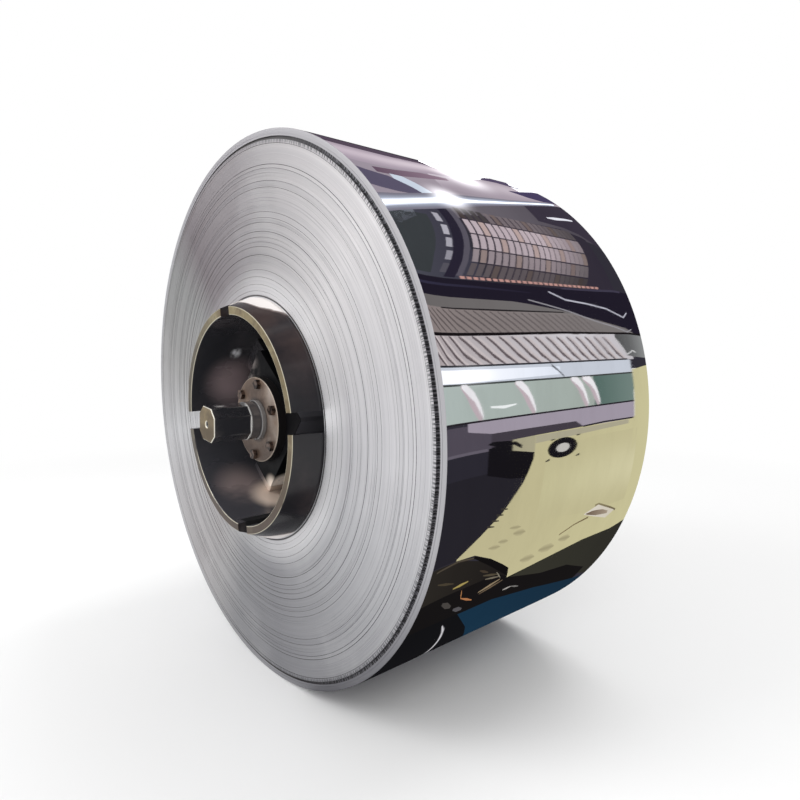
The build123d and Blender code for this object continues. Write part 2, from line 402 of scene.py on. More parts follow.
def leafFinish():
    # blackened steel with an oil film, rubbed bare on the tips
    f = Finish("leafSteel")
    place = f.place()
    x, depth, height = f.part(place, 0), f.part(place, 1), f.part(place, 2)
    radius = aroundAxis(f, place)
    inside = f.fall(radius, mandrel["inner"] + 0.0005, mandrel["inner"] + 0.0015)
    cloud = f.noise(place, 5, 5, 0.6)
    smear = f.noise(f.scaled(place, 1, 0.5, 1), 9, 4, 0.6)
    speck = f.noise(place, 120)
    outer = f.blend(f.ease(cloud, 0.45, 0.75), (34, 33, 36), (56, 49, 50))
    outer = f.blend(f.ease(height, 0.66, 0.78) * f.ease(smear, 0.44, 0.66) * 0.35, outer, (92, 74, 68))
    inner = f.blend(f.ease(cloud, 0.4, 0.7), (46, 46, 50), (66, 63, 66))
    # painted light: the inside paler towards the bottom
    inner = f.blend(f.fall(height, 0.42, 0.56, 0.5), inner, (76, 76, 82))
    # dust and painted sheen: pale clouds inside the leaves
    for spot, size, broken, share, tone in mandrel["dustAndSheen"]:
        inner = f.blend(f.near(place, spot, *size) * f.ease(smear, *broken) * share, inner, tone)
    # a small broken white spot low inside the leaves
    whiteSpot = f.near(f.scaled(place, 1, 1, 0.6), *mandrel["whiteSpot"])
    whiteSpot = whiteSpot * f.ease(f.noise(place, 40, 3), 0.34, 0.6)
    inner = f.blend(whiteSpot * 0.9, inner, (236, 236, 240))
    # painted highlight: bright crescents above and below on the leaves' taper
    away = f.maths("ABSOLUTE", height - coil["height"])
    streak = f.noise(f.scaled(place, 1, 0.3, 1), 34, 3, 0.6)
    crescentHighlight = f.ease(away + (depth - coil["front"]) * 0.5 + (streak - 0.5) * 0.01, 0.206, 0.223)
    crescentHighlight = crescentHighlight * f.ease(depth, -0.282, -0.27) * (1 - inside)
    outer = f.blend(f.ease(crescentHighlight, 0.1, 0.55) * 0.7, outer, (136, 122, 118))
    outer = f.blend(f.ease(crescentHighlight, 0.5, 0.85), outer, (236, 230, 227))
    # painted shade: dark sides of the lower slot
    flank = f.fall(f.maths("ABSOLUTE", x), 0.022, 0.024) * f.ease(depth, -0.284, -0.276)
    flank = flank * f.fall(height, 0.4, 0.42)
    dark = f.blend(flank, f.blend(inside, outer, inner), (16, 16, 18))
    # bare faces of the tips
    tip = f.fall(depth, mandrel["tipFace"] + 0.0002, mandrel["tipFace"] + 0.0012)
    bare = f.blend(f.fall(height, 0.4, 0.7), (132, 120, 90), (82, 70, 60))
    bare = f.blend(f.ease(f.noise(place, 34, 4, 0.6), 0.42, 0.66) * 0.7, bare, (104, 88, 68))
    bare = f.blend(f.ease(f.noise(place, 19, 3), 0.56, 0.68) * 0.4, bare, (164, 154, 124))
    bare = f.blend(f.ease(speck, 0.5, 0.75) * 0.55, bare, (86, 75, 58))
    bare = f.blend(f.fall(x, -0.2, -0.02, 0.72), bare, (74, 72, 69))
    bare = f.blend(f.ease(x, 0.08, 0.2, 0, 0.35), bare, (92, 79, 57))
    bare = f.blend(f.fall(height, 0.38, 0.58, 0.78), bare, (58, 44, 36))
    middle = (mandrel["inner"] + mandrel["tipOuter"]) / 2
    worn = f.ease(f.maths("ABSOLUTE", radius - middle), 0.0066, 0.0078)
    bare = f.blend(worn * f.ease(smear, 0.3, 0.5) * 0.8, bare, (218, 212, 190))
    rough = 0.12 + f.ease(smear, 0.4, 0.8) * 0.25 * inside + cloud * 0.08
    rough = rough + tip * 0.22 + flank * 0.5 + crescentHighlight * 0.3
    normal = f.bump(f.noise(place, 60, 3) + speck * 0.3, 0.0002, 0.5)
    return f.steel(f.blend(tip, dark, bare), 0.05 + tip * 0.3, rough, Specular_IOR_Level=0.3, Normal=normal,
                   Coat_Weight=0.25 * inside * (1 - tip) * (1 - flank), Coat_Roughness=0.1)


def coreFinish():
    # machined steel under grease and dust, near black as painted shade deep inside the mandrel
    f = Finish("coreSteel")
    place = f.place()
    depth = f.part(place, 1)
    cloud = f.noise(place, 6, 5, 0.6)
    grease = f.noise(place, 22, 4, 0.6)
    # painted shade: the core near black
    colour = f.blend(f.ease(cloud, 0.42, 0.72), (9, 9, 11), (22, 21, 23))
    # dust and painted sheen beside the top corner of the square, and a painted pool of light at its foot
    dustAndSheen = f.near(place, *mandrel["coreDust"]) * f.ease(grease, 0.35, 0.6)
    colour = f.blend(dustAndSheen * 0.8, colour, (128, 120, 118))
    # painted light: a pale pool at the foot of the square
    foot = f.near(place, *mandrel["coreFootLight"]) * f.ease(grease, 0.26, 0.44)
    colour = f.blend(foot, colour, (252, 234, 218))
    flank = f.ease(f.part(place, 0), 0.118, 0.126) * f.ease(depth, -0.226, -0.225)
    flank = flank * f.fall(depth, -0.16, -0.14)
    colour = f.blend(flank * 0.8, colour, (98, 97, 103))
    colour = f.blend(f.ease(grease, 0.6, 0.8) * 0.3, colour, (62, 58, 56))
    # drive disc at the back: turned, oiled, rubbed bright near its rim
    disc = f.ease(depth, mandrel["discFace"] - 0.004, mandrel["discFace"])
    radius = aroundAxis(f, place)
    turned = f.lineNoise(radius, 700, 3, 0.6)
    plate = f.blend(f.ease(cloud, 0.36, 0.66), (70, 69, 71), (104, 97, 91))
    plate = f.blend(f.ease(turned, 0.48, 0.7) * 0.35, plate, (134, 130, 126))
    plate = f.blend(f.ease(grease, 0.56, 0.74) * 0.5, plate, (52, 48, 46))
    plate = f.blend(f.ease(radius, 0.244, 0.2475) * 0.6, plate, (168, 164, 160))
    normal = f.bump(f.noise(place, 80, 4), 0.0004, 0.6)
    return f.steel(f.blend(disc, colour, plate), disc * 0.6, 0.34 + f.ease(grease, 0.3, 0.8) * 0.3,
                   Specular_IOR_Level=0.06, Normal=normal)


def flangeFinish():
    # bare turned steel gone brown, black round its rim
    f = Finish("flangeSteel")
    place = f.place()
    radius = aroundAxis(f, place)
    patch = f.noise(place, 18, 4, 0.6)
    speck = f.noise(place, 160, 3)
    turned = f.lineNoise(radius, 2600, 2)
    colour = f.blend(f.ease(patch, 0.35, 0.66), (126, 106, 91), (84, 69, 60))
    colour = f.blend(f.ease(speck, 0.5, 0.75) * 0.5, colour, (70, 58, 51))
    height = f.part(place, 2)
    wiped = f.ease(f.part(place, 0), 0.03, 0.062) * f.ease(height, 0.5, 0.54)
    wiped = wiped * f.ease(f.noise(place, 9, 3), 0.32, 0.52)
    colour = f.blend(f.fall(height, 0.5, 0.56) * 0.68, colour, (52, 37, 29))
    colour = f.blend(wiped * 0.75, colour, (196, 184, 174))
    colour = f.blend(f.ease(radius, 0.0876, 0.089) * 0.5, colour, (190, 178, 162))
    colour = f.blend(f.ease(radius, 0.0897, 0.0904), colour, (32, 29, 29))
    colour = f.blend(f.fall(radius, 0.044, 0.05) * 0.7, colour, (50, 44, 42))
    return f.steel(colour, 0.4, 0.34 + patch * 0.2, Normal=f.bump(turned * 0.5 + speck, 0.00012, 0.6))


def shaftFinish():
    # black oiled steel, the nose end rubbed bare
    f = Finish("shaftSteel")
    place = f.place()
    depth = f.part(place, 1)
    radius = aroundAxis(f, place)
    patch = f.noise(place, 24, 4, 0.6)
    streak = f.noise(f.scaled(place, 1, 0.3, 1), 60, 3, 0.6)
    speck = f.noise(place, 150, 3)
    turned = f.lineNoise(depth, 1600, 2)
    nose = f.fall(depth, -0.277, -0.276)
    bare = f.fall(depth, mandrel["noseEnd"] + 0.0006, mandrel["noseEnd"] + 0.0026)
    rim = f.ease(depth, mandrel["noseEnd"] + 0.0001, mandrel["noseEnd"] + 0.0007)
    black = f.blend(f.ease(patch, 0.45, 0.75), (44, 44, 48), (72, 69, 69))
    # painted sheen: the neck behind the flats lighter
    black = f.blend((1 - nose) * 0.6, black, (100, 96, 96))
    # worn long edges between the flats with a painted highlight, and painted glints on the shoulder behind
    # them and on the collar
    edges = f.ease(radius, 0.0388, 0.0396) * nose * f.ease(streak, 0.48, 0.66)
    shoulderGlint = f.fall(f.maths("ABSOLUTE", depth + 0.2745), 0.0006, 0.0018)
    shoulderGlint = shoulderGlint * f.ease(f.part(place, 0), 0.004, 0.02)
    collarGlint = f.fall(f.maths("ABSOLUTE", radius - 0.0422), 0.0004, 0.0012)
    black = f.blend(edges * 0.5, black, (150, 148, 146))
    black = f.blend(shoulderGlint * 0.9, black, (220, 219, 216))
    black = f.blend(collarGlint * 0.5, black, (150, 148, 146))
    glint = f.near(place, *mandrel["noseGlint"]) * f.ease(streak, 0.4, 0.56)
    black = f.blend(glint * 0.85, black, (206, 204, 202))
    olive = f.blend(f.ease(patch, 0.4, 0.65), (128, 112, 82), (98, 84, 61))
    olive = f.blend(f.ease(speck, 0.5, 0.8) * 0.6, olive, (92, 80, 58))
    olive = f.blend(f.fall(f.part(place, 2), 0.545, 0.58, 0.6), olive, (62, 45, 16))
    olive = f.blend(f.fall(radius, 0.007, 0.01) * 0.6, olive, (176, 162, 122))
    olive = f.blend(rim * 0.9, olive, (238, 234, 220))
    metal = 0.15 + bare * 0.4 + f.maths("MAXIMUM", edges, shoulderGlint) * 0.4
    normal = f.bump(turned * 0.4 + speck * 0.5, 0.00008, 0.5)
    return f.steel(f.blend(bare, black, olive), metal, 0.12 + patch * 0.14 + bare * 0.2,
                   Coat_Weight=0.6 * (1 - bare), Coat_Roughness=0.06, Normal=normal)


def boltFinish():
    # browned heads of the flange's bolts
    f = Finish("boltSteel")
    patch = f.noise(f.place(), 120, 3)
    colour = f.blend(f.ease(patch, 0.4, 0.6), (104, 86, 76), (44, 35, 32))
    return f.steel(colour, 0.7, 0.26 + patch * 0.2, Normal=f.bump(patch, 0.0003, 0.6))


def dressMandrel():
    finishes = {"leaf_": leafFinish(), "mandrel_core": coreFinish(), "nose_flange": flangeFinish(),
                "nose_shaft": shaftFinish(), "flange_bolt_": boltFinish()}
    for name, thing in nodes.items():
        for start, finish in finishes.items():
            if name.startswith(start):
                for slot in thing.material_slots:
                    slot.material = finish
    print("mandrel dressed")


eye = {
    "place": (1.1973, -0.8555, 0.7414),
    "gaze": (-0.7292, 0.6682, -0.1477),
    "lens": 27.734,
    "shift": (-0.0322, 0.0374),
}


def makeEye():
    data = bpy.data.cameras.new("eye")
    data.lens = eye["lens"]
    data.shift_x, data.shift_y = eye["shift"]
    bpy.context.scene.camera = aimed("eye", data, eye["place"], eye["gaze"])


studio = {
    "walls": (3.2, 5, 3.4),  # half across, how far back, ceiling height
    "layerStep": 0.012,
    "overFloor": (0.004, 0.003),  # height of the lowest layer, and of each one above it
    "leastSlope": 0.02,  # keeps rays that graze the polish from running along it
    "rowStep": 0.9,  # degrees between steps up a card
    "softRows": 8,  # fewest steps up a card with soft sides
    "glowRings": 9,
    "glowSpokes": 24,
    "glowFade": 2.6,
    "gain": 1.15,  # makes up for what the polish takes
}


def mirrorSpot(angle, depth, layer):
    # where the round side sends the eye's ray, at an angle and a depth in millimetres
    out = Vector((math.cos(math.radians(angle)), 0, math.sin(math.radians(angle))))
    spot = Vector((0, coil["front"] + depth / 1000, coil["height"])) + out * coil["radius"]
    ray = (spot - Vector(eye["place"])).normalized()
    ray = ray - 2 * min(ray.dot(out), -studio["leastSlope"]) * out
    across, back, top = (side * (1 - studio["layerStep"] * layer) for side in studio["walls"])
    low, step = studio["overFloor"]
    limits = ((0, across), (0, -across), (1, back), (2, top), (2, low + step * layer))
    reach = [(limit - spot[axis]) / ray[axis] for axis, limit in limits if abs(ray[axis]) > 1e-6]
    return spot + ray * min(r for r in reach if r > 0)


class Cards:
    # flat cards round the studio, seen only in the polish
    def __init__(self):
        self.mesh = bmesh.new()
        self.tone = self.mesh.verts.layers.float_color.new("tone")

    def card(self, colour, outline, layer=1, strength=1, step=25, to=None, edge=None):
        # outline: (depth, upper angle, lower angle) along the strip
        # to: colour at its far end; edge: colour along its sides
        first, last, side = (Vector(fromScreen(c)[:3]) for c in (colour, to or colour, edge or colour))
        columns = []
        for (d0, h0, l0), (d1, h1, l1) in zip(outline, outline[1:]):
            parts = max(1, round(abs(d1 - d0) / step))
            for k in range(parts):
                u = k / parts
                columns.append((d0 + (d1 - d0) * u, h0 + (h1 - h0) * u, l0 + (l1 - l0) * u))
        columns.append(outline[-1])
        tall = max(h - l for _, h, l in columns)
        rows = max(studio["softRows"] if edge else 1, round(tall / studio["rowStep"]))
        span = max(0.001, columns[-1][0] - columns[0][0])
        grid = []
        for d, h, l in columns:
            line = []
            for k in range(rows + 1):
                vert = self.mesh.verts.new(mirrorSpot(h + (l - h) * k / rows, d, layer))
                tone = first.lerp(last, (d - columns[0][0]) / span) * strength * studio["gain"]
                if edge:
                    tone = (side * studio["gain"]).lerp(tone, math.sin(math.pi * k / rows) ** 2)
                vert[self.tone] = (*tone, 1)
                line.append(vert)
            grid.append(line)
        for left, right in zip(grid, grid[1:]):
            for k in range(rows):
                self.mesh.faces.new((left[k], left[k + 1], right[k + 1], right[k]))

    def glow(self, depth, angle, wide, tall, layer, strength):
        # a round patch of light that fades to nothing at its rim
        rings, spokes = studio["glowRings"], studio["glowSpokes"]
        last = [self.mesh.verts.new(mirrorSpot(angle, depth, layer))]
        last[0][self.tone] = (strength, strength, strength, 1)
        for k in range(1, rings + 1):
            r, share = k / rings, strength * (1 - k / rings) ** studio["glowFade"]
            ring = []
            for n in range(spokes):
                turn = 2 * math.pi * n / spokes
                up, along = tall * r * math.sin(turn), wide * r * math.cos(turn)
                vert = self.mesh.verts.new(mirrorSpot(angle + up, depth + along, layer))
                vert[self.tone] = (share, share, share, 1)
                ring.append(vert)
            for n in range(spokes):
                m = (n + 1) % spokes
                corners = (last[0], ring[n], ring[m]) if k == 1 else (last[n], ring[n], ring[m], last[m])
                self.mesh.faces.new(corners)
            last = ring

    def sheet(self, first, last, corners):
        # one flat panel: colour and strength along its first side and along its last
        verts = [self.mesh.verts.new(corner) for corner in corners]
        for vert, (colour, strength) in zip(verts, (first, first, last, last)):
            vert[self.tone] = (*(Vector(fromScreen(colour)[:3]) * strength), 1)
        self.mesh.faces.new(verts)

    def finish(self, name, clear=False):
        f = Finish(name)
        tone = f.node("ShaderNodeAttribute", {"attribute_name": "tone"}, out="Color")
        glow = f.node("ShaderNodeEmission", {}, {"Color": tone, "Strength": 1})
        if clear:
            seen = f.node("ShaderNodeBsdfTransparent", {}, {"Color": (1, 1, 1, 1)})
            glow = f.node("ShaderNodeAddShader", {}, {0: glow, 1: seen})
        made = fromMesh(name, self.mesh, [f.show(glow)])
        for ray in ("camera", "diffuse", "transmission", "volume_scatter", "shadow"):
            setattr(made, "visible_" + ray, False)


bend = {
    "turning": 40,  # degrees up the round side where the curved rows of panes lean the other way
    "below": 0.46,
    "above": 2,
    "lean": 0.01,
    "length": 3.5,  # degrees in one length of an upright card
}


def bow(angle):
    # how far the curved rows of panes bend towards the front end
    below, above = max(0, bend["turning"] - angle), max(0, angle - bend["turning"])
    return bend["lean"] * angle - bend["below"] * below ** 2 - bend["above"] * above


def bowed(c, colour, left, wide, high, low, layer):
    # an upright card whose sides follow the bend, in short lengths
    parts = max(1, math.ceil((high - low) / bend["length"]))
    for k in range(parts):
        top, foot = high + (low - high) * k / parts, high + (low - high) * (k + 1) / parts
        above, below = left + bow(top), left + bow(foot)
        lean = above - below
        outline = []
        for d in sorted((above, below, above + wide, below + wide)):
            near, far = (d - below) / lean, (d - wide - below) / lean
            ends = (near, far) if lean > 0 else (far, near)
            outline.append((d, *(foot + (top - foot) * min(1, max(0, end)) for end in ends)))
        c.card(colour, outline, layer, step=60)


panes = {
    "columns": 20,
    "start": 172,
    "pitch": 19.5,
    "narrowing": 0.12,  # taken off a column's place, times its number squared
    "wide": 14.5,
    "fall": 0.03,  # degrees that each column stands lower than the last
    "rows": ((43.9, 41.2, 0.62), (40.9, 37.6, 1), (37.3, 34.2, 0.96), (33.9, 31.1, 0.78), (30.8, 28.3, 0.5)),
    "fade": 0.035,  # light that each column after fadeFrom loses
    "fadeFrom": 11,
    "dim": 4,  # first columns whose top pane is dimmer
    "dimShare": 0.62,
    "colour": (196, 181, 185),
    "warmColour": (192, 170, 164),
}


def upperCards(c):
    card = c.card
    # pinkish grey, darker bands at the front end, white beyond the top edge
    card((158, 148, 158), [(-150, 61, 40), (150, 62, 44), (320, 64, 46), (520, 60, 49), (700, 58, 52)], 1,
         to=(172, 160, 168))
    card((206, 196, 204), [(190, 61, 50), (290, 63, 50.5), (420, 63, 52), (560, 62, 55)], 2,
         to=(190, 178, 186), edge=(170, 158, 168))
    card((84, 72, 86), [(-150, 67, 61), (166, 66, 61.2), (273, 65.4, 62.6)], 3)
    card((200, 186, 196), [(-20, 61, 53), (120, 61, 54), (210, 62.4, 56), (286, 62.2, 57)], 3,
         to=(222, 210, 216), edge=(172, 158, 170))
    card((104, 84, 100), [(40, 52.4, 50.6), (97, 53.2, 51), (167, 54.8, 52.6), (236, 55.2, 54.2)], 4,
         to=(150, 128, 142))
    card((94, 88, 108), [(-20, 50.6, 45.4), (60, 50, 45.4), (97, 48, 45.6), (128, 46.4, 45.2)], 4)
    card((208, 218, 230), [(70, 51, 49.4), (97, 51, 47.8), (120, 49.4, 45.8), (146, 46.8, 44.2)], 5)
    card((255, 255, 255), [(250, 66, 62.6), (285, 70, 58.4), (300, 72, 57.4), (333, 73, 59),
         (386, 74, 61.2), (440, 74, 64), (482, 74, 67.8)], 6, 2.6, step=12)
    card((84, 74, 98), [(392, 62.2, 61.4), (450, 66.4, 62.4), (482, 68, 61.8), (503, 70, 61.4),
         (530, 72, 62.4)], 7, step=8)
    card((250, 250, 255), [(489, 61.4, 58.2), (503, 64, 58.4), (540, 68, 60.6), (584, 70, 62.6),
         (700, 74, 66)], 6, 1.5)
    card((72, 64, 94), [(440, 57.4, 57), (489, 58.6, 55.6), (540, 60.6, 55.2), (584, 62.4, 56.2),
         (700, 66, 58)], 7)
    # dusk between the bright line and the panes
    card((116, 110, 116), [(150, 46, 41), (300, 49, 41), (420, 51, 41), (587, 54.8, 41), (700, 57, 41)], 2,
         to=(60, 55, 66))
    card((60, 54, 66), [(420, 50.6, 45), (500, 52.6, 44.4), (700, 57, 38)], 3)
    card((240, 240, 248), [(468, 47.3, 46.9), (500, 47.9, 46.9), (590, 48.9, 48.4)], 4)
    # bright line across, with its flare
    card((196, 206, 222), [(-150, 40.6, 35.8), (43, 44.6, 40.6), (172, 47.9, 43.6), (268, 49.4, 46.4),
         (382, 51.4, 49.2), (587, 56.1, 54.6)], 7, 1, edge=(124, 120, 132))
    card((240, 246, 255), [(-150, 38.9, 36.9), (43, 43.4, 41.7), (172, 46.8, 45), (268, 48.2, 47.2),
         (382, 50.6, 49.9), (587, 55.6, 55.1)], 8, 2.4, edge=(204, 210, 224))
    # dark round shape at the front end
    card((84, 86, 94), [(-150, 41, 27.4), (43, 42.4, 27.4), (110, 42.4, 27.4), (150, 43.4, 27.4)], 3,
         to=(62, 60, 72))
    card((116, 120, 128), [(-150, 40.6, 36.4), (0, 42, 37), (60, 42.6, 39.6)], 4, edge=(84, 86, 94))
    for k in range(5):
        bowed(c, (60, 64, 66), -90 + 35 * k, 36, 40.4, 28, 4)
    for high, low, left, tone in ((41.2, 39.2, 102, 176), (38.5, 36.3, 106, 182), (35.6, 33.6, 109, 172),
                                  (32.8, 30.9, 111, 150), (30.2, 28.4, 111, 88)):
        bowed(c, (tone, tone - 2, tone + 6), left, 14, high, low, 8)
    bowed(c, (42, 38, 52), 125, 25, 43.2, 27.6, 5)
    # panes in curved rows
    bowed(c, (92, 88, 98), 150, 14, 43.6, 28, 6)
    card((62, 56, 64), [(168, 42, 28.4), (300, 43.6, 27.4), (480, 43.6, 27.4), (560, 41.6, 27.4)], 4,
         to=(52, 47, 58))
    for i in range(panes["columns"]):
        left, down = panes["start"] + panes["pitch"] * i - panes["narrowing"] * i * i, panes["fall"] * i
        for j, (high, low, share) in enumerate(panes["rows"]):
            fade = share * (1 - panes["fade"] * max(0, i - panes["fadeFrom"]))
            fade = fade * panes["dimShare"] if j == 0 and i < panes["dim"] else fade
            tone = panes["colour"] if (i * 2 + j) % 5 else panes["warmColour"]
            bowed(c, [round(v * fade) for v in tone], left, panes["wide"], high - down, low - down, 7)
    for k in range(26):
        left, up = 92 + 15.6 * k, 0.02 * k
        card((198, 152, 142), [(left, 28 + up, 27.5 + up), (left + 11, 28 + up, 27.5 + up)], 8)


def middleCards(c):
    card = c.card
    # dark beam and its lower pale edge
    card((34, 30, 42), [(-150, 27.3, 24.2), (200, 27.3, 24), (241, 27.3, 23.7), (353, 27.3, 22.6),
         (478, 27.8, 20.7), (586, 28, 19), (700, 28.4, 17.4)], 7)
    card((58, 56, 76), [(-150, 26.4, 25.9), (120, 26.4, 26), (260, 26, 25.8)], 8, to=(40, 36, 50))
    card((66, 62, 78), [(360, 27.6, 27.2), (480, 27.9, 27.4), (600, 28.3, 27.8)], 8)
    zigzag = ((314, 26.4), (360, 25), (430, 24.5), (494, 23.7), (553, 21.9), (593, 23.2))
    card((196, 196, 206), [(d, a + 0.16, a - 0.16) for d, a in zigzag], 9)
    under = ((245, 24.5), (308, 23.5), (358, 22.7), (381, 22.2), (439, 21), (508, 19.8), (553, 18.8),
             (595, 19.5))
    card((158, 156, 160), [(d, a + 0.12, a - 0.12) for d, a in under], 9)
    # plain band, then two ribbed panels
    card((108, 104, 102), [(-150, 24.6, 22.2), (700, 24.6, 22.2)], 5, to=(126, 122, 120))
    card((146, 134, 130), [(-150, 22.3, 17.9), (250, 22.3, 18.1), (700, 22.4, 18.4)], 5, to=(120, 118, 116))
    card((40, 36, 38), [(16, 22.3, 22.1), (160, 22.4, 22.1), (340, 22.5, 22.3)], 8)
    card((164, 152, 150), [(-150, 17.8, 12.9), (330, 18.3, 12.9)], 5, to=(214, 210, 212))
    card((214, 210, 212), [(330, 18.3, 12.9), (560, 18.4, 13.1)], 5, to=(202, 198, 200))
    card((84, 84, 84), [(498, 18.3, 17.2), (532, 18.4, 13.9), (560, 18.4, 13.6), (700, 18.4, 13.4)], 9,
         to=(150, 152, 150))
    corner = ((498, 17.4), (532, 14.1), (560, 14.9), (590, 14.5))
    card((214, 214, 212), [(d, a + 0.14, a - 0.14) for d, a in corner], 10)
    card((26, 22, 24), [(-150, 18, 17.5), (137, 18.4, 17.9), (310, 18.7, 18.3), (700, 18.7, 18.3)], 10)
    for k in range(21):
        left = -76 + 31 * k
        fold = [(left, 17.9, 17.5), (left + 14, 17.1, 16.5), (left + 40, 15, 14.3), (left + 68, 13.2, 12.9)]
        if left < 470:
            card((100, 90, 92), fold, 8, step=14)
            card((206, 196, 194), [(d + 9, h, l) for d, h, l in fold], 7, step=14)
    for k in range(24):
        left = -60 + 19.5 * k
        fold = [(left, 22.1, 21.8), (left + 34, 20, 19.6), (left + 54, 18.5, 18.2)]
        tone = 88 + round(1.1 * k)
        card((tone, tone - 8, tone - 8), fold, 8, step=18)
    # white strip with a joint
    card((206, 212, 220), [(-150, 12.9, 10.3), (292, 13, 10.3), (540, 13, 10.4)], 8)
    card((255, 255, 255), [(-150, 12.5, 10.5), (40, 12.5, 10.5), (290, 12.4, 11)], 9, 1.25,
         to=(214, 220, 228))
    card((70, 72, 78), [(266, 12.9, 12.5), (282, 12, 11.6), (300, 10.7, 10.4)], 10, step=6)
    card((52, 52, 56), [(-150, 13.2, 12.9), (530, 13.3, 13)], 11)
    card((70, 74, 72), [(-150, 10.4, 10.1), (560, 10.5, 10.2)], 11)
    # row of pale green panes and slanted frames
    card((184, 196, 190), [(-150, 10.3, 4.7), (400, 10.3, 4.7)], 8, to=(168, 178, 168))
    card((88, 112, 104), [(395, 10.3, 4.7), (545, 10.3, 4.7)], 9, to=(120, 138, 130))
    for left, wide in ((28, 18), (160, 16), (318, 20), (356, 24)):
        slant = [(left, 10.3, 9.8), (left + wide, 10.3, 8.1), (left + wide + 14, 9.2, 6),
                 (left + wide + 24, 7.6, 4.7), (left + wide + 32, 5.4, 4.7)]
        card((196, 180, 184), slant, 10, step=6)
        card((246, 244, 244), [(d + 3, h, max(l, h - 1.6)) for d, h, l in slant], 11, step=6)
    card((246, 250, 246), [(98, 6.7, 6.4), (130, 6.6, 6.1), (160, 6.7, 6.5)], 11)
    card((232, 230, 218), [(541, 11.2, 1), (700, 11.2, 1)], 9)
    # lilac grey band, and a dark box at the front end
    card((166, 157, 168), [(42, 4.5, 3.2), (99, 4.5, 2.4), (327, 4.6, 2.3), (356, 4.6, 1), (541, 4.8, 1)],
         12)
    card((40, 36, 42), [(-150, 4.7, 4.4), (541, 4.8, 4.5)], 13)
    card((84, 78, 88), [(-150, 4.1, 0.1), (44, 4.1, 0.1), (98, 2.6, 0.1)], 11)
    card((70, 64, 72), [(98, 2.5, 0.2), (330, 2.5, 1), (356, 1.5, 1)], 10)
    card((104, 98, 108), [(-150, 0.2, -0.3), (92, 0.2, -0.3)], 12)


